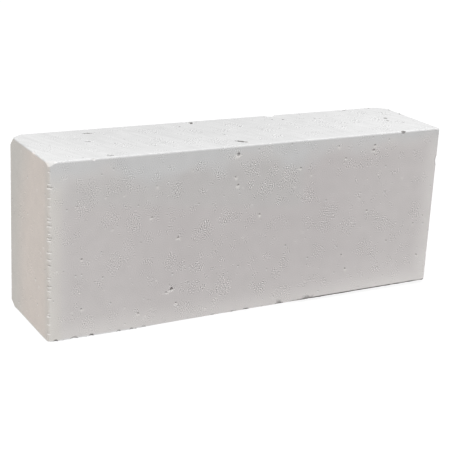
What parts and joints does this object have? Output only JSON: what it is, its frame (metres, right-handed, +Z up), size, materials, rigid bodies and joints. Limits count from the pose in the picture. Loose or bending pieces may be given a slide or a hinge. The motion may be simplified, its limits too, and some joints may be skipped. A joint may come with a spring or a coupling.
{
  "type": "concrete block",
  "caption": "Solid aerated concrete building block, a plain sawn cuboid laid flat on its bed, with worn arrises, broken corners, chips and a few blowholes.",
  "frame": {"origin": "middle of the lower bed, on the floor", "axes": "+X along the length, +Y through the thickness from the front face to the back, +Z up"},
  "size_m": [0.625, 0.15, 0.25],
  "materials": {
    "aerated_concrete": "matt, sawn, finely porous"
  },
  "bodies": {
    "root": {"block": "aerated_concrete"}
  },
  "joints": []
}
